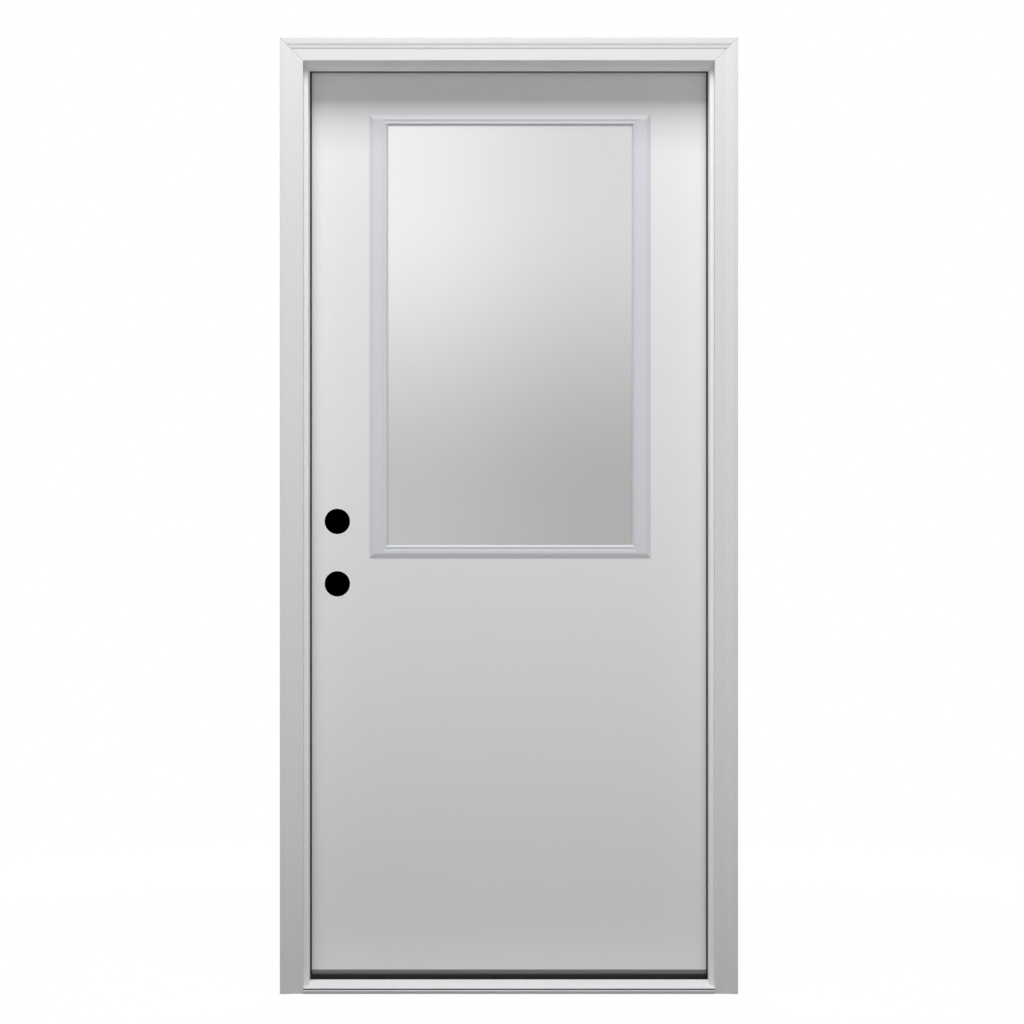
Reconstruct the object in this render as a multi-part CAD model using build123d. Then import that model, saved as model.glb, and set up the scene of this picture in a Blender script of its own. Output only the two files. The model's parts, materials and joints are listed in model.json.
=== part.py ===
from build123d import *
import os

# Glazed fiberglass entrance door, hung in its jamb, with brick moulding and an aluminium sill.
# Millimetres. X runs to the right seen from outside, Y runs into the building, Z is up.
# The origin is under the middle of the sill, in the plane of the jamb's outside edge.

# Jamb frame
jamb_depth = 115.9
jamb_thickness = 17.225
stop_depth = 63.5
stop_standout = 14.525
head_stop_standout = 12.225
joint_gap = 0.4
kerf_width = 3.2
kerf_depth = 9.0
kerf_from_stop_face = 7.5
edge_ease = 1.2

# Brick moulding
casing_width = 50.8
casing_thickness = 31.75
casing_reveal_side = 9.525
casing_reveal_head = 10.4
casing_band = 10.8
casing_ogee = 9.2
casing_ogee_drop = 2.2
casing_bead = 2.0
casing_step = 4.0
casing_step_drop = 1.8
casing_ease = 0.8

# Door slab
slab_width = 908.05
slab_height = 2016.1
slab_thickness = 44.45
edge_gap = 5.0
sill_gap = 9.625
lock_edge_bevel = 2.33
skin_thickness = 2.0
stile_width = 32.0
top_rail_height = 32.0
bottom_rail_height = 38.0

# Lock preparation
lock_backset = 69.85
bore_radius = 28.575
lockset_height = 863.3
bore_spacing = 139.7
latch_bore_radius = 12.7
lock_block_width = 88.0
lock_block_height = 320.0
faceplate_height = 57.15
faceplate_width = 25.4
faceplate_depth = 2.4
faceplate_corner = 6.35
strike_width = 28.6
strike_recess = 1.6
bolt_pocket_width = 22.0
bolt_pocket_height = 30.0

# Lite
lite_height = 990.6
lite_from_top = 103.1
lite_from_lock_side = 139.7
lite_from_hinge_side = 137.2
lite_side_member = 41.0
lite_top_member = 23.4
lite_bottom_member = 28.2
lite_standout = 5.4
lite_outer_edge = 1.6
lite_bevel_side = 10.0
lite_bevel_bottom = 8.6
lite_bevel_top = 10.2
lite_groove_side = 2.4
lite_groove_end = 4.8
lite_groove_drop = 1.2
lite_bead_side = 2.6
lite_bead_end = 4.5
lite_bead_setback = 0.2
lite_lip_side = 4.8
lite_lip_bottom = 4.8
lite_lip_top = 3.4
lite_lip_drop = 3.6
lite_lip_draft = 0.4
lite_inside_narrower = 3.8
slab_cut_cover = 8.0
glass_cover = 8.0
sleeve_wall = 4.0
sleeve_joint = 0.4
glass_thickness = 3.2
glass_gap = 12.5
glass_edge_play = 0.5
tape_thickness = 1.0
tape_width = 3.8
spacer_width = 3.8

# Weatherstrip and sweep
seal_clearance = 0.3
strip_nose = 3.3
head_strip_nose = 1.8
strip_round = 2.0
strip_side_play = 0.5
strip_leg_play = 0.3
sweep_base = 3.0
sweep_fin = 1.8
sweep_setback = 0.8
sweep_end_play = 2.0

# Sill
deck_back_height = 17.3
deck_front_height = 12.3
deck_thickness = 2.0
deck_front_edge = 1.5
deck_nose_reach = 27.5
nosing_reach = 30.0
nosing_height = 8.4
nosing_depth = 6.0
nosing_round = 2.2
cap_height = 28.5
cap_setback = 0.5
cap_depth = 48.0
cap_round = 2.0
channel_floor = 14.0
dam_height = 22.0

# Hinges
hinge_height = 101.6
hinge_corner = 15.9
leaf_thickness = 2.4
leaf_backset = 6.35
pin_offset = 9.5
barrel_radius = 5.6
pin_radius = 3.1
pin_play = 0.05
knuckle_count = 5
knuckle_play = 0.35
pin_head_radius = 4.4
pin_head_height = 2.6
hinge_from_top = 228.6
hinge_from_bottom = 279.4

# How far a cut runs past the surface that it opens
cut_overrun = 1.0

# Places worked out from the sizes above
slab_bottom = cap_height + sill_gap
slab_top = slab_bottom + slab_height
half_slab = slab_width / 2
half_rabbet = half_slab + edge_gap
half_frame = half_rabbet + jamb_thickness
half_stop = half_rabbet - stop_standout
head_rabbet = slab_top + edge_gap
frame_height = head_rabbet + jamb_thickness
head_stop = head_rabbet - head_stop_standout
casing_inner = half_stop + casing_reveal_side
casing_outer = casing_inner + casing_width
casing_inner_head = head_stop + casing_reveal_head
casing_top = casing_inner_head + casing_width

slab_front = jamb_depth - slab_thickness
slab_middle = jamb_depth - slab_thickness / 2
core_front = slab_front + skin_thickness
core_back = jamb_depth - skin_thickness
core_left = -half_slab + stile_width
core_right = half_slab - stile_width
core_bottom = slab_bottom + bottom_rail_height
core_top = slab_top - top_rail_height

bore_x = -half_slab + lock_backset
lockset_z = slab_bottom + lockset_height
deadbolt_z = lockset_z + bore_spacing
lock_heights = [lockset_z, deadbolt_z]

lite_top = slab_top - lite_from_top
lite_outer = [
    lock_edge_bevel - half_slab + lite_from_lock_side,
    half_slab - lite_from_hinge_side,
    lite_top - lite_height,
    lite_top,
]
lite_opening = [
    lite_outer[0] + lite_side_member,
    lite_outer[1] - lite_side_member,
    lite_outer[2] + lite_bottom_member,
    lite_outer[3] - lite_top_member,
]
glass_front = slab_middle - glass_gap / 2 - glass_thickness

hinge_axis_x = half_slab + edge_gap / 2
hinge_axis_y = jamb_depth + pin_offset
hinge_low = slab_bottom + hinge_from_bottom
hinge_high = slab_top - hinge_from_top
hinge_heights = {
    "bottom": hinge_low,
    "middle": (hinge_low + hinge_high) / 2,
    "top": hinge_high,
}
recess_back = jamb_depth + cut_overrun
deck_slope = (deck_back_height - deck_front_height) / (stop_depth + deck_nose_reach)


def block(x, y, z):
    """A box between the low and high limits along each axis."""
    size = [limits[1] - limits[0] for limits in (x, y, z)]
    centre = [(limits[1] + limits[0]) / 2 for limits in (x, y, z)]
    return Pos(*centre) * Box(*size)


def along_z(points, low, high):
    """A profile of X and Y points, extruded upwards."""
    face = make_face(Polyline(*points, close=True))
    return Pos(0, 0, low) * extrude(face, high - low)


def along_x(points, low, high):
    """A profile of Y and Z points, extruded to the right."""
    face = make_face(Polyline(*points, close=True))
    return extrude(Plane.YZ.offset(low) * face, high - low)


def inset(rectangle, side, bottom=None, top=None):
    """A rectangle of left, right, bottom and top, drawn in by the given amounts."""
    left, right, low, high = rectangle
    bottom = side if bottom is None else bottom
    top = bottom if top is None else top
    return [left + side, right - side, low + bottom, high - top]


def plate(rectangle, y):
    """A box with an upright rectangle as its face, between two depths."""
    return block(rectangle[:2], y, rectangle[2:])


def upright_face(rectangle, y):
    """The upright rectangle at one depth, as a face to loft from."""
    left, right, low, high = rectangle
    corners = [(left, y, low), (right, y, low), (right, y, high), (left, y, high)]
    return make_face(Polyline(*corners, close=True))


def tapered(front, front_y, back, back_y):
    """A block that changes from one upright rectangle to another."""
    return loft([upright_face(front, front_y), upright_face(back, back_y)])


def mirrored(shape):
    """The same piece on the other side of the doorway."""
    return mirror(shape, Plane.YZ)


# Jambs
def jamb_section(stop_face, rabbet, outside):
    """Points across a jamb: distance from the opening's middle, and depth."""
    kerf_near = stop_face + kerf_from_stop_face
    kerf_far = kerf_near + kerf_width
    kerf_end = stop_depth - kerf_depth
    return [
        (stop_face, edge_ease),
        (stop_face + edge_ease, 0),
        (outside, 0),
        (outside, jamb_depth),
        (rabbet + edge_ease, jamb_depth),
        (rabbet, jamb_depth - edge_ease),
        (rabbet, stop_depth),
        (kerf_far, stop_depth),
        (kerf_far, kerf_end),
        (kerf_near, kerf_end),
        (kerf_near, stop_depth),
        (stop_face, stop_depth),
    ]


def side_jamb():
    jamb = along_z(jamb_section(half_stop, half_rabbet, half_frame), 0, frame_height)
    notch_low = head_stop - joint_gap
    return jamb - block((half_stop, half_rabbet), (0, stop_depth), (notch_low, frame_height))


def hinge_jamb():
    jamb = side_jamb()
    for height in hinge_heights.values():
        jamb -= leaf_plate(half_rabbet, half_rabbet + leaf_thickness, height, recess_back)
    return jamb


def latch_jamb():
    jamb = mirrored(side_jamb())
    for height in lock_heights:
        recess_y = (slab_middle - strike_width / 2, slab_middle + strike_width / 2)
        recess_z = (height - faceplate_height / 2, height + faceplate_height / 2)
        jamb -= block((-half_rabbet - strike_recess, -half_rabbet), recess_y, recess_z)
        pocket_y = (slab_middle - bolt_pocket_width / 2, slab_middle + bolt_pocket_width / 2)
        pocket_z = (height - bolt_pocket_height / 2, height + bolt_pocket_height / 2)
        jamb -= block((-half_frame, -half_rabbet), pocket_y, pocket_z)
    return jamb


def head_jamb():
    section = jamb_section(head_stop, head_rabbet, frame_height)
    return along_x([(depth, height) for height, depth in section], -half_rabbet, half_rabbet)


# Brick moulding
def casing_face():
    """Across the moulding: distance in from its outer edge, and stand-out from the wall."""
    band = casing_band
    ogee = band + casing_ogee
    bead = ogee + casing_bead
    step = bead + casing_step
    bead_level = casing_thickness - casing_ogee_drop
    flat_level = bead_level - casing_step_drop
    middle = ((band + ogee) / 2, (casing_thickness + bead_level) / 2)
    ease = casing_ease
    outline = Polyline(
        (casing_width - ease, flat_level),
        (casing_width, flat_level - ease),
        (casing_width, 0),
        (0, 0),
        (0, casing_thickness - ease),
        (ease, casing_thickness),
        (band, casing_thickness),
    )
    outline += TangentArc((band, casing_thickness), middle, tangent=(1, 0))
    outline += TangentArc((ogee, bead_level), middle, tangent=(-1, 0))
    outline += Polyline(
        (ogee, bead_level),
        (bead, bead_level),
        (step, flat_level),
        (casing_width - ease, flat_level),
    )
    return make_face(outline)


def mitre(side, from_joint):
    """The plane across a top corner, set a little above or below the joint's own line."""
    joint = Plane(origin=(side * casing_outer, 0, casing_top), z_dir=(-side, 0, 1))
    return joint.offset(from_joint)


def brickmold_left():
    end = Plane((-casing_outer, 0, 0), x_dir=(1, 0, 0), z_dir=(0, 0, -1))
    moulding = extrude(end * casing_face(), -casing_top)
    return split(moulding, bisect_by=mitre(-1, -joint_gap / 2), keep=Keep.BOTTOM)


def brickmold_head():
    end = Plane((-casing_outer, 0, casing_top), x_dir=(0, 0, -1), z_dir=(-1, 0, 0))
    moulding = extrude(end * casing_face(), -2 * casing_outer)
    for side in (-1, 1):
        moulding = split(moulding, bisect_by=mitre(side, joint_gap / 2), keep=Keep.TOP)
    return moulding


# Weatherstrip
def strip_section(stop_face, rabbet, nose_reach):
    """Across a foam strip and its barbed leg: distance from the middle, and depth."""
    face = slab_front - seal_clearance
    nose = stop_face - nose_reach
    root = rabbet - strip_side_play
    leg_near = stop_face + kerf_from_stop_face + strip_leg_play
    leg_far = leg_near + kerf_width - 2 * strip_leg_play
    leg_end = stop_depth - kerf_depth + strip_leg_play
    return [
        (root, stop_depth),
        (leg_far, stop_depth),
        (leg_far, leg_end),
        (leg_near, leg_end),
        (leg_near, stop_depth),
        (nose + strip_round, stop_depth),
        (nose, stop_depth + strip_round),
        (nose, face - strip_round),
        (nose + strip_round, face),
        (root - strip_round, face),
        (root, face - strip_round),
    ]


def weatherstrip_side():
    section = strip_section(half_stop, half_rabbet, strip_nose)
    return along_z(section, cap_height, head_stop - head_strip_nose)


def weatherstrip_head():
    section = strip_section(head_stop, head_rabbet, head_strip_nose)
    reach = half_rabbet - strip_side_play
    return along_x([(depth, height) for height, depth in section], -reach, reach)


# Sill
def deck_top(y):
    return deck_back_height - (stop_depth - y) * deck_slope


def between_jambs(shape):
    """Notch a sill piece round the jambs' stops and between the brick mouldings."""
    for low, high in ((half_stop, half_rabbet), (-half_rabbet, -half_stop)):
        shape -= block((low, high), (0, stop_depth), (-cut_overrun, 2 * cap_height))
    for low, high in ((casing_inner, half_rabbet), (-half_rabbet, -casing_inner)):
        shape -= block((low, high), (-nosing_reach - cut_overrun, 0), (-cut_overrun, 2 * cap_height))
    return shape


def sill_substrate():
    front = nosing_depth - nosing_reach
    cap_back = stop_depth + cap_setback + cap_depth
    points = [
        (front, 0),
        (jamb_depth, 0),
        (jamb_depth, dam_height),
        (cap_back, dam_height),
        (cap_back, channel_floor),
        (stop_depth, channel_floor),
        (stop_depth, deck_top(stop_depth) - deck_thickness),
        (front, deck_top(front) - deck_thickness),
    ]
    return between_jambs(along_x(points, -half_rabbet, half_rabbet))


def sill_deck():
    front = nosing_depth - nosing_reach
    points = [
        (stop_depth, deck_top(stop_depth)),
        (stop_depth, deck_top(stop_depth) - deck_thickness),
        (front, deck_top(front) - deck_thickness),
        (-deck_nose_reach, deck_front_height - deck_front_edge),
        (-deck_nose_reach, deck_front_height),
    ]
    return between_jambs(along_x(points, -casing_inner, casing_inner))


def sill_nosing():
    back = nosing_depth - nosing_reach
    points = [
        (-nosing_reach, 0),
        (back, 0),
        (back, nosing_height),
        (nosing_round - nosing_reach, nosing_height),
        (-nosing_reach, nosing_height - nosing_round),
    ]
    return along_x(points, -casing_inner, casing_inner)


def sill_cap():
    front = stop_depth + cap_setback
    back = front + cap_depth
    points = [
        (front, channel_floor),
        (front, cap_height - cap_round),
        (front + cap_round, cap_height),
        (back - cap_round, cap_height),
        (back, cap_height - cap_round),
        (back, channel_floor),
    ]
    return along_x(points, -half_rabbet, half_rabbet)


# Slab
def slab_envelope():
    """The whole slab, with the bevel along its lock edge."""
    points = [
        (lock_edge_bevel - half_slab, slab_front),
        (half_slab, slab_front),
        (half_slab, jamb_depth),
        (-half_slab, jamb_depth),
    ]
    return along_z(points, slab_bottom, slab_top)


def lock_bores():
    tool = None
    for height in lock_heights:
        bore = Cylinder(bore_radius, slab_thickness + 2 * cut_overrun)
        bore = Pos(bore_x, slab_middle, height) * Rot(90, 0, 0) * bore
        tool = bore if tool is None else tool + bore
    return tool


def latch_bores():
    tool = None
    for height in lock_heights:
        length = lock_backset + cut_overrun
        bore = Pos(bore_x - length / 2, slab_middle, height) * Rot(0, 90, 0)
        bore *= Cylinder(latch_bore_radius, length)
        tool = bore if tool is None else tool + bore
    return tool


def faceplate_recesses():
    tool = None
    outline = RectangleRounded(faceplate_width, faceplate_height, faceplate_corner)
    for height in lock_heights:
        floor = (faceplate_depth - half_slab, slab_middle, height)
        place = Plane(floor, x_dir=(0, 1, 0), z_dir=(-1, 0, 0))
        recess = extrude(place * outline, faceplate_depth + cut_overrun)
        tool = recess if tool is None else tool + recess
    return tool


def lite_cut():
    return plate(inset(lite_outer, slab_cut_cover), (slab_front - cut_overrun, jamb_depth + cut_overrun))


def door_leaf_recesses():
    tool = None
    for height in hinge_heights.values():
        recess = leaf_plate(half_slab - leaf_thickness, half_slab, height, recess_back)
        tool = recess if tool is None else tool + recess
    return tool


def skin(front, back):
    sheet = block((-half_slab, half_slab), (front, back), (slab_bottom, slab_top))
    return sheet & slab_envelope() - lite_cut() - lock_bores()


def exterior_skin():
    return skin(slab_front, core_front)


def interior_skin():
    return skin(core_back, jamb_depth) - door_leaf_recesses()


def hinge_stile():
    stile = block((core_right, half_slab), (core_front, core_back), (slab_bottom, slab_top))
    return stile - door_leaf_recesses()


def lock_stile():
    stile = block((-half_slab, core_left), (core_front, core_back), (slab_bottom, slab_top))
    return (stile & slab_envelope()) - latch_bores() - faceplate_recesses()


def top_rail():
    return block((core_left, core_right), (core_front, core_back), (core_top, slab_top))


def bottom_rail():
    return block((core_left, core_right), (core_front, core_back), (slab_bottom, core_bottom))


def lock_block_envelope():
    middle = (lockset_z + deadbolt_z) / 2
    height = (middle - lock_block_height / 2, middle + lock_block_height / 2)
    return block((core_left, core_left + lock_block_width), (core_front, core_back), height)


def lock_block():
    return lock_block_envelope() - lock_bores() - latch_bores()


def foam_core():
    core = block((core_left, core_right), (core_front, core_back), (core_bottom, core_top))
    return core - lite_cut() - lock_block_envelope()


# Lite
def lite_frame(narrower):
    """A bevel, a flat, a groove, a bead and a lip down to the glass, from outside to inside."""
    opening = inset(lite_opening, -narrower)
    flat_y = slab_front - lite_standout
    groove_y = flat_y + lite_groove_drop
    bead_y = flat_y + lite_bead_setback
    lip_y = bead_y + lite_lip_drop
    edge_y = slab_front - lite_outer_edge
    seat_y = glass_front - tape_thickness
    glass_edge = inset(lite_opening, -glass_cover)
    sleeve_inner = inset(glass_edge, -glass_edge_play)
    sleeve_outer = inset(sleeve_inner, -sleeve_wall)
    lip = inset(opening, -lite_lip_draft)
    bead = inset(opening, -lite_lip_side, -lite_lip_bottom, -lite_lip_top)
    groove = inset(bead, -lite_bead_side, -lite_bead_end)
    flat_inner = inset(groove, -lite_groove_side, -lite_groove_end)
    bevels = (lite_bevel_side, lite_bevel_bottom, lite_bevel_top)
    flat_outer = inset(lite_outer, *[bevel - narrower for bevel in bevels])
    body = plate(lite_outer, (edge_y, slab_front))
    body += tapered(flat_outer, flat_y, lite_outer, edge_y)
    body += plate(sleeve_outer, (slab_front, slab_middle - sleeve_joint / 2))
    body -= tapered(flat_inner, flat_y, groove, groove_y)
    body += tapered(bead, bead_y, groove, groove_y)
    body -= tapered(bead, bead_y, lip, lip_y)
    body -= tapered(lip, lip_y, opening, seat_y)
    body -= plate(sleeve_inner, (seat_y, slab_middle))
    return body


def lite_frame_exterior():
    return lite_frame(0)


def lite_frame_interior():
    """The same moulding turned to the room, with narrower bevels and a wider opening."""
    return mirror(lite_frame(lite_inside_narrower), Plane.XZ.offset(-slab_middle))


def glass_pane(front):
    return plate(inset(lite_opening, -glass_cover), (front, front + glass_thickness))


def glass_exterior():
    return glass_pane(glass_front)


def glass_interior():
    return glass_pane(glass_front + glass_thickness + glass_gap)


def glass_spacer():
    outer = inset(lite_opening, -glass_cover)
    depth = (glass_front + glass_thickness, glass_front + glass_thickness + glass_gap)
    return plate(outer, depth) - plate(inset(outer, spacer_width), depth)


def glazing_tape(front):
    outer = inset(lite_opening, -glass_cover)
    depth = (front, front + tape_thickness)
    return plate(outer, depth) - plate(inset(outer, tape_width), depth)


def glazing_tape_exterior():
    return glazing_tape(glass_front - tape_thickness)


def glazing_tape_interior():
    return glazing_tape(glass_front + 2 * glass_thickness + glass_gap)


# Sweep
def door_sweep():
    fin_low = cap_height + seal_clearance
    fin_high = slab_bottom - sweep_base
    front = slab_front + sweep_setback
    back = stop_depth + cap_setback + cap_depth - cap_round
    reach = (lock_edge_bevel + sweep_end_play - half_slab, half_slab - sweep_end_play)
    sweep = block(reach, (front, back), (fin_high, slab_bottom))
    fin_spacing = (back - front - sweep_fin) / 3
    for index in range(4):
        fin_y = front + index * fin_spacing
        sweep += block(reach, (fin_y, fin_y + sweep_fin), (fin_low, fin_high))
    return sweep


# Hinges
def leaf_plate(low_x, high_x, height, high_y):
    """A hinge leaf's plate, or the recess for it, with the two rounded corners inside."""
    low_y = slab_front + leaf_backset
    middle_y = (low_y + high_y) / 2
    outline = Rectangle(high_y - low_y, hinge_height)
    inner = outline.vertices().group_by(Axis.X)[0]
    outline = fillet(inner, hinge_corner)
    return extrude(Plane.YZ.offset(low_x) * Pos(middle_y, height) * outline, high_x - low_x)


def hinge_leaf(low_x, height, own_knuckles):
    pitch = hinge_height / knuckle_count
    leaf = leaf_plate(low_x, low_x + leaf_thickness, height, hinge_axis_y)
    sweep = barrel_radius + knuckle_play
    for index in range(knuckle_count):
        middle = height - hinge_height / 2 + (index + 0.5) * pitch
        barrel = Pos(hinge_axis_x, hinge_axis_y, middle)
        if index in own_knuckles:
            leaf += barrel * Cylinder(barrel_radius, pitch - knuckle_play)
        else:
            leaf -= barrel * Cylinder(sweep, pitch + knuckle_play)
    bore = Cylinder(pin_radius + pin_play, hinge_height + 2 * cut_overrun)
    return leaf - Pos(hinge_axis_x, hinge_axis_y, height) * bore


def jamb_leaf(height):
    return hinge_leaf(half_rabbet, height, (0, 2, 4))


def door_leaf(height):
    return hinge_leaf(half_slab - leaf_thickness, height, (1, 3))


def hinge_pin(height):
    head_middle = (hinge_height + pin_head_height) / 2
    pin = Cylinder(pin_radius, hinge_height)
    pin += Pos(0, 0, head_middle) * Cylinder(pin_head_radius, pin_head_height)
    return Pos(hinge_axis_x, hinge_axis_y, height) * pin


# Files
def subparts():
    pieces = {
        "latch_jamb": latch_jamb(),
        "hinge_jamb": hinge_jamb(),
        "head_jamb": head_jamb(),
        "brickmold_left": brickmold_left(),
        "brickmold_right": mirrored(brickmold_left()),
        "brickmold_head": brickmold_head(),
        "weatherstrip_hinge": weatherstrip_side(),
        "weatherstrip_latch": mirrored(weatherstrip_side()),
        "weatherstrip_head": weatherstrip_head(),
        "sill_substrate": sill_substrate(),
        "sill_deck": sill_deck(),
        "sill_nosing": sill_nosing(),
        "sill_cap": sill_cap(),
        "exterior_skin": exterior_skin(),
        "interior_skin": interior_skin(),
        "hinge_stile": hinge_stile(),
        "lock_stile": lock_stile(),
        "top_rail": top_rail(),
        "bottom_rail": bottom_rail(),
        "lock_block": lock_block(),
        "foam_core": foam_core(),
        "lite_frame_exterior": lite_frame_exterior(),
        "lite_frame_interior": lite_frame_interior(),
        "glass_exterior": glass_exterior(),
        "glass_interior": glass_interior(),
        "glass_spacer": glass_spacer(),
        "glazing_tape_exterior": glazing_tape_exterior(),
        "glazing_tape_interior": glazing_tape_interior(),
        "door_sweep": door_sweep(),
    }
    for name, height in hinge_heights.items():
        pieces["jamb_leaf_" + name] = jamb_leaf(height)
        pieces["door_leaf_" + name] = door_leaf(height)
        pieces["hinge_pin_" + name] = hinge_pin(height)
    return pieces


os.makedirs("parts", exist_ok=True)
for node, piece in subparts().items():
    export_step(piece, "parts/" + node + ".step")
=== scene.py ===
import json
import math

import bmesh
import bpy
from mathutils import Matrix, Vector
from mathutils.bvhtree import BVHTree


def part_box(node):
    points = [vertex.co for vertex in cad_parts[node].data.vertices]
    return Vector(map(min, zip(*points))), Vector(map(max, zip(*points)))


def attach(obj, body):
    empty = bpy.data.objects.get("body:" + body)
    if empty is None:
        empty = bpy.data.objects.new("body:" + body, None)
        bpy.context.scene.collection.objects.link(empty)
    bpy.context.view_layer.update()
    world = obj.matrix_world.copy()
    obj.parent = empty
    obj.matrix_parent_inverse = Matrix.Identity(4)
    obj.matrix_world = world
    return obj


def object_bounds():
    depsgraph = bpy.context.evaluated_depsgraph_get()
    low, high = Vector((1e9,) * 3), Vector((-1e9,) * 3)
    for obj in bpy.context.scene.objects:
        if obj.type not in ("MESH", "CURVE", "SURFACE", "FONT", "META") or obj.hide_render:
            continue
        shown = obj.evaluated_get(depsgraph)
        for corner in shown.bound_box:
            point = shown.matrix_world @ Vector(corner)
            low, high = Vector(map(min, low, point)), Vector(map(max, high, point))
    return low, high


# A glazed fiberglass entrance door in its jamb, seen from outside. Metres.
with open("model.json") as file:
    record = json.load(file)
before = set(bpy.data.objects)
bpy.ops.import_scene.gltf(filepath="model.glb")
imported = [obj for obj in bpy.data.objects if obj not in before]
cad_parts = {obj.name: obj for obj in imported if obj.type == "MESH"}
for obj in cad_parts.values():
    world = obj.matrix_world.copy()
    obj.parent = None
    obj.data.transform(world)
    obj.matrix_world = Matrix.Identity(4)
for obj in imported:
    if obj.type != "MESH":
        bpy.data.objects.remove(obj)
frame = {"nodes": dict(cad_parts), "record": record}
cad_low, cad_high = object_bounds()

# Camera
PICTURE_PIXELS = 1024
DOOR_MIDDLE_PIXEL = 508.95
PIXELS_PER_METRE = 451.7
CAMERA_DISTANCE = 6.5
CAMERA_HEIGHT = 1.0622
SENSOR_WIDTH = 36.0
VIEW_DEPTH = 100.0

# Light
KEY_PLACE = (-0.1, -1.95, 4.4)
KEY_WIDTH = 2.2
KEY_LENGTH = 1.5
KEY_WATTS = 110.0
GROUND_PLACE = (0.0, -2.0, 0.05)
GROUND_WIDTH = 2.4
GROUND_LENGTH = 0.8
GROUND_WATTS = 18.0
BACK_PLACE = (0.0, 3.6, 2.6)
BACK_WIDTH = 3.0
BACK_LENGTH = 2.0
BACK_WATTS = 70.0
AIM_SHARE = 1.1
FILL_STRENGTH = 0.28

# Floor and backdrop
FLOOR_PALE = 0.4
FLOOR_ROUGHNESS = 0.9
FLOOR_SIZE = 40.0
FLOOR_GLOW = 1.16
NEAR_WHITE_SHARE = 0.8
NEAR_RADIUS = 1.6
FAR_RADIUS = 3.2
BACKDROP_PLACE = 1.5
BACKDROP_WIDTH = 9.0
BACKDROP_HEIGHT = 4.5
# The backdrop's glow is painted light: brighter above and to the left, dimmer below and to the right
BRIGHT_ABOVE = 1.918
DIM_BELOW = 1.1
BRIGHT_LEVEL = 0.963
DIM_LEVEL = 0.524
BRIGHT_LEFT_OF = -0.36
DIM_RIGHT_OF = 0.28
DIM_RIGHT_SHARE = 0.77

# Fasteners
FASTENER_SIDES = 32
CLEAR_OF_DOOR = 1.0
SCREW_RADIUS = 0.0043
SCREW_TURN = 0.7
HINGE_SCREW_HEIGHTS = (-0.038, -0.0135, 0.0135, 0.038)
HINGE_SCREW_NEAR = 0.34
HINGE_SCREW_FAR = 0.66
JAMB_SCREW_DEPTHS = (0.02, 0.055, 0.09)
SILL_SCREW_HEIGHT = 0.008
HEAD_SCREW_FROM_TOP = 0.0086
SCREW_STANDS_OUT = 0.0006
SCREW_SUNK = 0.0003
SCREW_RIM = 0.0005
CROSS_REACH = 0.55
CROSS_WIDTH = 0.15
CROSS_TAPER = 0.5
CROSS_FLOOR = 0.1
PLUG_RADIUS = 0.005
PLUG_STANDS_OUT = 0.001
PLUGS_UP = 6
PLUG_FROM_EDGE = 0.0168
PLUG_FROM_CORNER = 0.07

# Bores, and the black cards of painted shade inside them
BORE_CARD_DEPTH = 0.0012
BORE_CARD_PLAY = 0.0002
ROUND_SIDES = 96

# Shine and grain of the paint
JAMB_SHINE = 0.1
CASING_SHINE = 0.25
ALONG_GRAIN = 0.04

# Colours, linear
JAMB_WHITE = (0.92, 0.922, 0.92)
CASING_WHITE = (0.79, 0.786, 0.778)
SKIN_WHITE = (0.835, 0.833, 0.831)
LITE_WHITE = (0.685, 0.698, 0.735)
SEAL_BLACK = (0.008, 0.008, 0.009)
DECK_GREY = (0.97, 0.97, 0.98)
NOSING_GREY = (0.42, 0.425, 0.45)
CAP_BRONZE = (0.008, 0.006, 0.0055)
SWEEP_GREY = (0.22, 0.22, 0.205)
SUBSTRATE_GREY = (0.05, 0.048, 0.046)
STILE_WOOD = (0.56, 0.38, 0.2)
FOAM_CREAM = (0.75, 0.66, 0.42)
HINGE_NICKEL = (0.52, 0.5, 0.47)
# Painted shade: a darker copy of the hinges' nickel for the screws, which really have the same finish
SHADED_SCREW_NICKEL = (0.3, 0.285, 0.265)
SPACER_GREY = (0.45, 0.46, 0.47)
TAPE_WHITE = (0.7, 0.7, 0.7)
GLASS_TINT = (0.94, 0.945, 0.94)
# Painted shade: the black of the cards inside the lock bores
BORE_SHADE_BLACK = (0.0, 0.0, 0.0)


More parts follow.
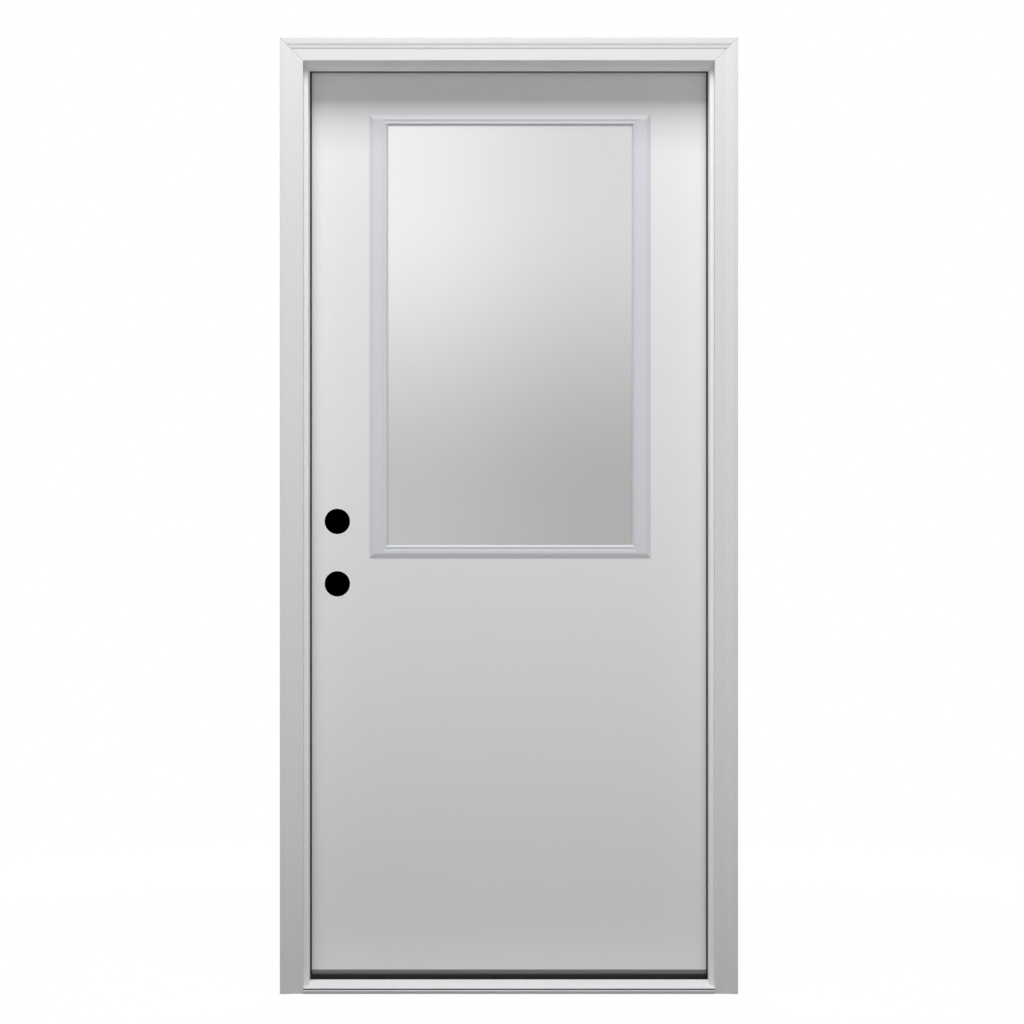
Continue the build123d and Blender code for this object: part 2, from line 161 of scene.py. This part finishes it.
class Shader:
    """A material's node tree, with short calls for the nodes that the finishes share."""

    def __init__(self, name):
        self.material = bpy.data.materials.new(name)
        self.material.use_nodes = True
        self.tree = self.material.node_tree
        self.principled = self.tree.nodes["Principled BSDF"]

    def add(self, kind, **inputs):
        node = self.tree.nodes.new(kind)
        for name, value in inputs.items():
            self.feed(node.inputs[name.replace("_", " ")], value)
        return node

    def feed(self, socket, value):
        if isinstance(value, bpy.types.NodeSocket):
            self.tree.links.new(value, socket)
        elif socket.type == "RGBA" and len(value) == 3:
            socket.default_value = (*value, 1.0)
        else:
            socket.default_value = value

    def set(self, **inputs):
        for name, value in inputs.items():
            self.feed(self.principled.inputs[name.replace("_", " ")], value)

    def coordinates(self, stretch=(1, 1, 1)):
        place = self.add("ShaderNodeTexCoord")
        return self.add("ShaderNodeMapping", Vector=place.outputs["Object"], Scale=stretch).outputs["Vector"]

    def noise(self, scale, stretch=(1, 1, 1), detail=3.0, roughness=0.5):
        node = self.add("ShaderNodeTexNoise", Vector=self.coordinates(stretch), Scale=scale)
        self.feed(node.inputs["Detail"], detail)
        self.feed(node.inputs["Roughness"], roughness)
        return node.outputs["Fac"]

    def spread(self, value, low, high):
        node = self.add("ShaderNodeMapRange", Value=value, To_Min=low, To_Max=high)
        return node.outputs["Result"]

    def tone(self, value, colour, darkest, lightest=1.0):
        """The colour, made darker where the value is low."""
        node = self.add("ShaderNodeMix")
        node.data_type = "RGBA"
        self.feed(node.inputs["Factor"], value)
        self.feed(node.inputs["A"], tuple(c * darkest for c in colour))
        self.feed(node.inputs["B"], tuple(min(1.0, c * lightest) for c in colour))
        return node.outputs["Result"]

    def sum(self, first, second, share):
        node = self.add("ShaderNodeMath")
        node.operation = "MULTIPLY_ADD"
        self.feed(node.inputs[0], second)
        self.feed(node.inputs[1], share)
        self.feed(node.inputs[2], first)
        return node.outputs["Value"]

    def bump(self, height, depth, strength=1.0):
        node = self.add("ShaderNodeBump", Height=height, Distance=depth, Strength=strength)
        self.set(Normal=node.outputs["Normal"])


def painted_wood(name, colour, along, shine):
    """Satin paint on milled wood: a brushed grain along the piece under a fine orange peel."""
    shader = Shader(name)
    shader.set(Specular_IOR_Level=shine)
    stretch = tuple(ALONG_GRAIN if axis == along else 1.0 for axis in "XYZ")
    grain = shader.noise(scale=420.0, stretch=stretch, detail=4.0)
    peel = shader.noise(scale=900.0)
    cloud = shader.noise(scale=3.0, detail=2.0)
    shader.set(Base_Color=shader.tone(cloud, colour, darkest=0.975))
    shader.set(Roughness=shader.spread(grain, low=0.36, high=0.5))
    shader.bump(shader.sum(grain, peel, share=0.5), depth=0.00006)
    return shader.material


def smooth_fiberglass():
    """Primed and painted skin: nearly flat, with a faint moulded ripple."""
    shader = Shader("fiberglass_skin")
    ripple = shader.noise(scale=14.0, detail=1.0)
    peel = shader.noise(scale=1100.0, detail=2.0)
    cloud = shader.noise(scale=2.2, detail=2.0)
    shader.set(Base_Color=shader.tone(cloud, SKIN_WHITE, darkest=0.985))
    shader.set(Roughness=shader.spread(peel, low=0.4, high=0.5))
    shader.bump(shader.sum(peel, ripple, share=2.0), depth=0.00004)
    return shader.material


def moulded_polymer():
    """The lite frames' plastic, with a fine orange peel."""
    shader = Shader("lite_polymer")
    peel = shader.noise(scale=700.0, detail=2.0)
    cloud = shader.noise(scale=5.0)
    shader.set(Base_Color=shader.tone(cloud, LITE_WHITE, darkest=0.985))
    shader.set(Roughness=shader.spread(peel, low=0.34, high=0.44))
    shader.bump(peel, depth=0.00003)
    return shader.material


def soft_black():
    """The weatherstrip's foam, with small closed cells."""
    shader = Shader("weatherstrip_foam")
    shader.set(Specular_IOR_Level=0.1)
    cells = shader.noise(scale=1500.0, detail=4.0)
    shader.set(Base_Color=shader.tone(cells, SEAL_BLACK, darkest=0.6, lightest=1.4))
    shader.set(Roughness=shader.spread(cells, low=0.6, high=0.8))
    shader.bump(cells, depth=0.00008)
    return shader.material


def drawn_aluminium(name, colour, metallic, shine):
    """An extrusion with fine die lines that run along the sill."""
    shader = Shader(name)
    shader.set(Metallic=metallic, Specular_IOR_Level=shine)
    lines = shader.noise(scale=1400.0, stretch=(0.004, 1.0, 1.0), detail=5.0)
    cloud = shader.noise(scale=6.0, stretch=(0.3, 1.0, 1.0), detail=3.0)
    shader.set(Base_Color=shader.tone(cloud, colour, darkest=0.94))
    shader.set(Roughness=shader.spread(lines, low=0.3, high=0.46))
    shader.bump(lines, depth=0.00005)
    return shader.material


def dark_composite(name, colour, shine=0.5):
    """A filled plastic with short flecks along the sill."""
    shader = Shader(name)
    shader.set(Specular_IOR_Level=shine)
    fleck = shader.noise(scale=260.0, stretch=(0.3, 1.0, 1.0), detail=6.0)
    shader.set(Base_Color=shader.tone(fleck, colour, darkest=0.7, lightest=1.25))
    shader.set(Roughness=shader.spread(fleck, low=0.45, high=0.62))
    shader.bump(fleck, depth=0.0001)
    return shader.material


def ribbed_vinyl():
    """The sweep's extrusion, with lines along its length."""
    shader = Shader("sweep_vinyl")
    lines = shader.noise(scale=500.0, stretch=(0.02, 1.0, 1.0), detail=3.0)
    shader.set(Base_Color=shader.tone(lines, SWEEP_GREY, darkest=0.85, lightest=1.1))
    shader.set(Roughness=shader.spread(lines, low=0.4, high=0.55))
    shader.bump(lines, depth=0.00006)
    return shader.material


def laminated_wood():
    """Veneers glued in layers through the slab's thickness, with the grain running up."""
    shader = Shader("laminated_wood")
    layers = shader.noise(scale=330.0, stretch=(0.15, 1.0, 0.004), detail=2.0)
    grain = shader.noise(scale=160.0, stretch=(1.0, 1.0, 0.02), detail=6.0)
    mixed = shader.sum(layers, grain, share=0.6)
    contrast = shader.spread(mixed, low=-0.3, high=1.2)
    shader.set(Base_Color=shader.tone(contrast, STILE_WOOD, darkest=0.55, lightest=1.2))
    shader.set(Roughness=0.6)
    shader.bump(mixed, depth=0.00015)
    return shader.material


def rigid_foam():
    """The core's foam, cut through its cells."""
    shader = Shader("rigid_foam")
    cells = shader.add("ShaderNodeTexVoronoi", Vector=shader.coordinates(), Scale=900.0)
    height = cells.outputs["Distance"]
    shader.set(Base_Color=shader.tone(height, FOAM_CREAM, darkest=0.8, lightest=1.1), Roughness=0.85)
    shader.bump(height, depth=0.0003)
    return shader.material


def satin_nickel(name, colour):
    """Plated steel, brushed upward."""
    shader = Shader(name)
    lines = shader.noise(scale=1300.0, stretch=(1.0, 1.0, 0.01), detail=4.0)
    shader.set(Base_Color=shader.tone(lines, colour, darkest=0.9, lightest=1.1), Metallic=1.0)
    shader.set(Roughness=shader.spread(lines, low=0.22, high=0.36))
    shader.bump(lines, depth=0.00003)
    return shader.material


def plain_aluminium():
    shader = Shader("spacer_aluminium")
    grit = shader.noise(scale=1200.0)
    shader.set(Base_Color=shader.tone(grit, SPACER_GREY, darkest=0.9), Metallic=1.0)
    shader.set(Roughness=shader.spread(grit, low=0.35, high=0.5))
    return shader.material


def foam_tape():
    shader = Shader("glazing_tape")
    cells = shader.noise(scale=1300.0)
    shader.set(Base_Color=shader.tone(cells, TAPE_WHITE, darkest=0.85), Roughness=0.8)
    shader.bump(cells, depth=0.00005)
    return shader.material


def clear_glass():
    """Float glass, barely rippled."""
    shader = Shader("pane_glass")
    shader.set(Base_Color=GLASS_TINT, Roughness=0.0, IOR=1.45, Transmission_Weight=1.0)
    shader.bump(shader.noise(scale=3.0, detail=1.0), depth=0.0002, strength=0.2)
    return shader.material


def dress_nodes():
    """Give every CAD node its finish, and return the two that the added pieces share."""
    jamb_upright = painted_wood("jamb_paint_upright", JAMB_WHITE, "Z", JAMB_SHINE)
    jamb_level = painted_wood("jamb_paint_level", JAMB_WHITE, "X", JAMB_SHINE)
    casing_upright = painted_wood("casing_paint_upright", CASING_WHITE, "Z", CASING_SHINE)
    casing_level = painted_wood("casing_paint_level", CASING_WHITE, "X", CASING_SHINE)
    skin = smooth_fiberglass()
    polymer = moulded_polymer()
    seal = soft_black()
    nickel = satin_nickel("hinge_nickel", HINGE_NICKEL)
    wood = laminated_wood()
    glass = clear_glass()
    tape = foam_tape()
    finishes = {
        "latch_jamb": jamb_upright,
        "hinge_jamb": jamb_upright,
        "head_jamb": jamb_level,
        "brickmold_left": casing_upright,
        "brickmold_right": casing_upright,
        "brickmold_head": casing_level,
        "sill_substrate": dark_composite("sill_composite", SUBSTRATE_GREY),
        "sill_deck": drawn_aluminium("deck_aluminium", DECK_GREY, metallic=0.0, shine=0.0),
        "sill_nosing": drawn_aluminium("nosing_aluminium", NOSING_GREY, metallic=0.3, shine=0.5),
        "sill_cap": dark_composite("cap_bronze", CAP_BRONZE, shine=0.25),
        "exterior_skin": skin,
        "interior_skin": skin,
        "hinge_stile": wood,
        "lock_stile": wood,
        "top_rail": wood,
        "lock_block": wood,
        "bottom_rail": dark_composite("rail_composite", SUBSTRATE_GREY),
        "foam_core": rigid_foam(),
        "lite_frame_exterior": polymer,
        "lite_frame_interior": polymer,
        "glass_exterior": glass,
        "glass_interior": glass,
        "glass_spacer": plain_aluminium(),
        "glazing_tape_exterior": tape,
        "glazing_tape_interior": tape,
        "door_sweep": ribbed_vinyl(),
    }
    for name, node in frame["nodes"].items():
        if name.startswith("weatherstrip"):
            finish = seal
        elif "leaf" in name or "pin" in name:
            finish = nickel
        else:
            finish = finishes[name]
        node.data.materials.clear()
        node.data.materials.append(finish)
    # The screws get a darker copy of the hinge nickel, as painted shade.
    return satin_nickel("shaded_screw_nickel", SHADED_SCREW_NICKEL), polymer


def new_mesh(name, build):
    mesh = bpy.data.meshes.new(name)
    work = bmesh.new()
    build(work)
    work.to_mesh(mesh)
    work.free()
    piece = bpy.data.objects.new(name, mesh)
    bpy.context.scene.collection.objects.link(piece)
    return piece


def surface_point(node, origin, direction):
    """Where a ray first meets a CAD node at rest."""
    tree = BVHTree.FromObject(frame["nodes"][node], bpy.context.evaluated_depsgraph_get())
    return tree.ray_cast(Vector(origin), Vector(direction))[0]


def standing_on(place, normal, turn=0.0):
    """A matrix whose Z axis leaves the surface at the place, turned about itself."""
    facing = Vector(normal).to_track_quat("Z", "Y").to_matrix().to_4x4()
    return Matrix.Translation(place) @ facing @ Matrix.Rotation(turn, 4, "Z")


def ring(work, radius, height, matrix):
    turns = [2 * math.pi * index / FASTENER_SIDES for index in range(FASTENER_SIDES)]
    corners = [Vector((radius * math.cos(turn), radius * math.sin(turn), height)) for turn in turns]
    return [work.verts.new(matrix @ corner) for corner in corners]


def join_rings(work, lower, upper):
    """A band of four-sided faces between two loops with the same number of corners."""
    count = len(lower)
    for index in range(count):
        after = (index + 1) % count
        work.faces.new((lower[index], lower[after], upper[after], upper[index]))


def add_screw(work, matrix):
    """A screw head with a bevelled rim and a tapered cross recess."""
    foot = ring(work, SCREW_RADIUS, -SCREW_SUNK, matrix)
    shoulder = ring(work, SCREW_RADIUS, SCREW_STANDS_OUT - SCREW_RIM / 2, matrix)
    top = ring(work, SCREW_RADIUS - SCREW_RIM, SCREW_STANDS_OUT, matrix)
    join_rings(work, foot, shoulder)
    join_rings(work, shoulder, top)
    work.faces.new(list(reversed(foot)))
    reach = SCREW_RADIUS * CROSS_REACH
    width = SCREW_RADIUS * CROSS_WIDTH
    quarter = [(reach, -width), (reach, width), (width, width)]
    outline = []
    for index in range(4):
        turn = Matrix.Rotation(math.radians(90 * index), 3, "Z")
        outline += [turn @ Vector((x, y, 0)) for x, y in quarter]
    lift = Vector((0, 0, SCREW_STANDS_OUT))
    mouth = [work.verts.new(matrix @ (corner + lift)) for corner in outline]
    bottom = [work.verts.new(matrix @ (corner * CROSS_TAPER + lift * CROSS_FLOOR)) for corner in outline]
    join_rings(work, mouth, bottom)
    work.faces.new(bottom)
    rims = []
    for loop in (top, mouth):
        rims += [work.edges.get((loop[index - 1], loop[index])) for index in range(len(loop))]
    bmesh.ops.triangle_fill(work, edges=rims, use_beauty=True, normal=matrix.to_3x3() @ Vector((0, 0, 1)))


def add_plug(work, matrix):
    """A small domed cap, from rings given as shares of its radius and of its height."""
    dome = [(1.0, -0.5), (1.0, 0.4), (0.93, 0.75), (0.75, 0.94), (0.4, 1.0)]
    rings = [ring(work, PLUG_RADIUS * out, PLUG_STANDS_OUT * up, matrix) for out, up in dome]
    for lower, upper in zip(rings, rings[1:]):
        join_rings(work, lower, upper)
    work.faces.new(list(reversed(rings[0])))
    work.faces.new(rings[-1])


def make_fasteners(name, body, material, add, places):
    """One piece of many like fasteners, each at a place with its outward normal and turn."""
    def build(work):
        for place, normal, turn in places:
            add(work, standing_on(place, normal, turn))
        bmesh.ops.recalc_face_normals(work, faces=work.faces)
    piece = new_mesh(name, build)
    piece.data.materials.append(material)
    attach(piece, body)


def make_hinge_screws(material):
    """Four screws in each leaf, in two rows, facing the gap between the door's edge and its jamb."""
    pin_low, pin_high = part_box("hinge_pin_top")
    gap_middle = (pin_low[0] + pin_high[0]) / 2
    slab_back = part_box("interior_skin")[1][1]
    for side, body, outward in (("jamb", "frame", -1), ("door", "door", 1)):
        for level in ("bottom", "middle", "top"):
            node = f"{side}_leaf_{level}"
            low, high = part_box(node)
            places = []
            for index, offset in enumerate(HINGE_SCREW_HEIGHTS):
                share = HINGE_SCREW_NEAR if index in (0, 3) else HINGE_SCREW_FAR
                depth = low[1] + (slab_back - low[1]) * share
                start = (gap_middle, depth, (low[2] + high[2]) / 2 + offset)
                place = surface_point(node, start, (-outward, 0, 0))
                places.append((place, (outward, 0, 0), index * SCREW_TURN))
            make_fasteners(f"screws_{node}", body, material, add_screw, places)


def make_jamb_screws(material):
    """The screws that hold each side jamb to the sill and to the head."""
    head_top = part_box("head_jamb")[1][2]
    heights = (SILL_SCREW_HEIGHT, head_top - HEAD_SCREW_FROM_TOP)
    for node, outward in (("latch_jamb", -1), ("hinge_jamb", 1)):
        places = []
        for height in heights:
            for index, depth in enumerate(JAMB_SCREW_DEPTHS):
                start = (outward * CLEAR_OF_DOOR, depth, height)
                place = surface_point(node, start, (-outward, 0, 0))
                places.append((place, (outward, 0, 0), index * SCREW_TURN))
        make_fasteners(f"screws_{node}", "frame", material, add_screw, places)


def make_lite_plugs(material):
    """The caps over the screws that pull the two lite frames together, on the inside frame's flats."""
    node = "lite_frame_interior"
    low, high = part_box(node)
    span = high[2] - low[2] - 2 * PLUG_FROM_CORNER
    places = []
    for across in (low[0] + PLUG_FROM_EDGE, high[0] - PLUG_FROM_EDGE):
        for index in range(PLUGS_UP):
            height = low[2] + PLUG_FROM_CORNER + span * index / (PLUGS_UP - 1)
            place = surface_point(node, (across, CLEAR_OF_DOOR, height), (0, -1, 0))
            places.append((place, (0, 1, 0), 0))
    make_fasteners("lite_screw_plugs", "door", material, add_plug, places)


def make_camera():
    camera = bpy.data.cameras.new("camera")
    camera.sensor_width = SENSOR_WIDTH
    camera.lens = PIXELS_PER_METRE * CAMERA_DISTANCE / PICTURE_PIXELS * SENSOR_WIDTH
    camera.clip_end = VIEW_DEPTH
    holder = bpy.data.objects.new("camera", camera)
    sideways = (PICTURE_PIXELS / 2 - DOOR_MIDDLE_PIXEL) / PIXELS_PER_METRE
    holder.location = (sideways, -CAMERA_DISTANCE, CAMERA_HEIGHT)
    holder.rotation_euler = (math.radians(90), 0, 0)
    bpy.context.scene.collection.objects.link(holder)
    bpy.context.scene.camera = holder


def make_lamp(name, place, width, length, watts, is_mirrored=True, faces_up=False):
    """A softbox that faces the top of the door or straight up, and may be kept out of reflections."""
    lamp = bpy.data.lights.new(name, "AREA")
    lamp.shape = "RECTANGLE"
    lamp.size = width
    lamp.size_y = length
    lamp.energy = watts
    holder = bpy.data.objects.new(name, lamp)
    holder.visible_glossy = is_mirrored
    holder.visible_transmission = is_mirrored
    holder.location = place
    aim = Vector((0, 0, 1)) if faces_up else Vector((0, 0, cad_high.z * AIM_SHARE)) - holder.location
    holder.rotation_euler = aim.to_track_quat("-Z", "Y").to_euler()
    bpy.context.scene.collection.objects.link(holder)


def seen_rays(tree):
    """One for rays that show the background: from the camera, and through gloss and glass."""
    path = tree.nodes.new("ShaderNodeLightPath")
    total = path.outputs["Is Camera Ray"]
    for name in ("Is Glossy Ray", "Is Transmission Ray"):
        node = tree.nodes.new("ShaderNodeMath")
        node.operation = "MAXIMUM"
        tree.links.new(total, node.inputs[0])
        tree.links.new(path.outputs[name], node.inputs[1])
        total = node.outputs["Value"]
    return total


def make_world():
    """White wherever it is seen, and a weaker even fill as light."""
    world = bpy.data.worlds.new("studio")
    bpy.context.scene.world = world
    world.use_nodes = True
    tree = world.node_tree
    background = tree.nodes["Background"]
    background.inputs["Color"].default_value = (1, 1, 1, 1)
    strength = tree.nodes.new("ShaderNodeMapRange")
    tree.links.new(seen_rays(tree), strength.inputs["Value"])
    strength.inputs["To Min"].default_value = FILL_STRENGTH
    strength.inputs["To Max"].default_value = 1.0
    tree.links.new(strength.outputs["Result"], background.inputs["Strength"])


def share_between(tree, value, start, end, low, high):
    """A smooth step from low to high while the value goes from start to end."""
    node = tree.nodes.new("ShaderNodeMapRange")
    node.interpolation_type = "SMOOTHSTEP"
    tree.links.new(value, node.inputs["Value"])
    node.inputs["From Min"].default_value = start
    node.inputs["From Max"].default_value = end
    node.inputs["To Min"].default_value = low
    node.inputs["To Max"].default_value = high
    return node.outputs["Result"]


def multiply(tree, first, second):
    node = tree.nodes.new("ShaderNodeMath")
    node.operation = "MULTIPLY"
    tree.links.new(first, node.inputs[0])
    tree.links.new(second, node.inputs[1])
    return node.outputs["Value"]


def make_floor():
    """A pale floor that keeps a soft shadow near the door and fades into the white background."""
    material = bpy.data.materials.new("floor_pale")
    material.use_nodes = True
    tree = material.node_tree
    plain = tree.nodes["Principled BSDF"]
    plain.inputs["Base Color"].default_value = (FLOOR_PALE, FLOOR_PALE, FLOOR_PALE, 1)
    plain.inputs["Roughness"].default_value = FLOOR_ROUGHNESS
    place = tree.nodes.new("ShaderNodeTexCoord")
    radius = tree.nodes.new("ShaderNodeVectorMath")
    radius.operation = "LENGTH"
    tree.links.new(place.outputs["Object"], radius.inputs[0])
    fade = share_between(tree, radius.outputs["Value"], NEAR_RADIUS, FAR_RADIUS, NEAR_WHITE_SHARE, 1.0)
    glow = share_between(tree, radius.outputs["Value"], NEAR_RADIUS, FAR_RADIUS, FLOOR_GLOW, 1.0)
    white = tree.nodes.new("ShaderNodeEmission")
    tree.links.new(glow, white.inputs["Strength"])
    mix = tree.nodes.new("ShaderNodeMixShader")
    tree.links.new(multiply(tree, seen_rays(tree), fade), mix.inputs["Fac"])
    tree.links.new(plain.outputs["BSDF"], mix.inputs[1])
    tree.links.new(white.outputs["Emission"], mix.inputs[2])
    tree.links.new(mix.outputs["Shader"], tree.nodes["Material Output"].inputs["Surface"])
    floor = new_mesh("floor", lambda work: bmesh.ops.create_grid(work, size=FLOOR_SIZE))
    floor.data.materials.append(material)


def glowing(name):
    """A material of light alone, and its emission node."""
    material = bpy.data.materials.new(name)
    material.use_nodes = True
    tree = material.node_tree
    glow = tree.nodes.new("ShaderNodeEmission")
    tree.links.new(glow.outputs["Emission"], tree.nodes["Material Output"].inputs["Surface"])
    return material, glow


def make_backdrop():
    """The glowing card behind the door, seen only through its glass: painted light, brighter at the upper
    left and dimmer lower down and to the right.
    """
    material, glow = glowing("backdrop_card")
    tree = material.node_tree
    place = tree.nodes.new("ShaderNodeTexCoord")
    parts = tree.nodes.new("ShaderNodeSeparateXYZ")
    tree.links.new(place.outputs["Object"], parts.inputs["Vector"])
    down = share_between(tree, parts.outputs["Z"], DIM_BELOW, BRIGHT_ABOVE, DIM_LEVEL, BRIGHT_LEVEL)
    across = share_between(tree, parts.outputs["X"], BRIGHT_LEFT_OF, DIM_RIGHT_OF, 1.0, DIM_RIGHT_SHARE)
    tree.links.new(multiply(tree, down, across), glow.inputs["Strength"])
    corners = [
        (side * BACKDROP_WIDTH / 2, BACKDROP_PLACE, height)
        for side, height in ((-1, 0), (1, 0), (1, BACKDROP_HEIGHT), (-1, BACKDROP_HEIGHT))
    ]
    card = new_mesh("backdrop", lambda work: work.faces.new([work.verts.new(corner) for corner in corners]))
    card.data.materials.append(material)
    card.visible_camera = False
    card.visible_diffuse = False
    card.visible_glossy = False
    card.visible_shadow = False


def make_bore_shade_cards():
    """A black card inside each open lock bore: painted shade that stands in for the dark room behind the
    door, seen through the bore.
    """
    material, glow = glowing("bore_painted_shade")
    glow.inputs["Color"].default_value = (*BORE_SHADE_BLACK, 1.0)
    mounts = {mount["name"]: mount for mount in frame["record"]["mounts"]}
    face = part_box("exterior_skin")[0][1]
    turn = Matrix.Rotation(math.radians(90), 4, "X")
    for name in ("lockset_bore", "deadbolt_bore"):
        mount = mounts[name]
        radius = mount["dims"]["r_mm"] / 1000 - BORE_CARD_PLAY
        card = new_mesh(
            name.replace("bore", "card"),
            lambda work: bmesh.ops.create_circle(
                work, cap_ends=True, radius=radius, segments=ROUND_SIDES, matrix=turn
            ),
        )
        card.data.materials.append(material)
        card.location = (mount["pos_m"][0], face + BORE_CARD_DEPTH, mount["pos_m"][2])
        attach(card, "door")


bpy.context.scene.view_settings.view_transform = "Standard"
make_camera()
make_lamp("key", KEY_PLACE, KEY_WIDTH, KEY_LENGTH, KEY_WATTS)
make_lamp(
    "ground",
    GROUND_PLACE,
    GROUND_WIDTH,
    GROUND_LENGTH,
    GROUND_WATTS,
    is_mirrored=False,
    faces_up=True,
)
make_lamp("back", BACK_PLACE, BACK_WIDTH, BACK_LENGTH, BACK_WATTS, is_mirrored=False)
make_world()
make_floor()
make_backdrop()
make_bore_shade_cards()
shaded_screw_nickel, polymer = dress_nodes()
make_hinge_screws(shaded_screw_nickel)
make_jamb_screws(shaded_screw_nickel)
make_lite_plugs(polymer)
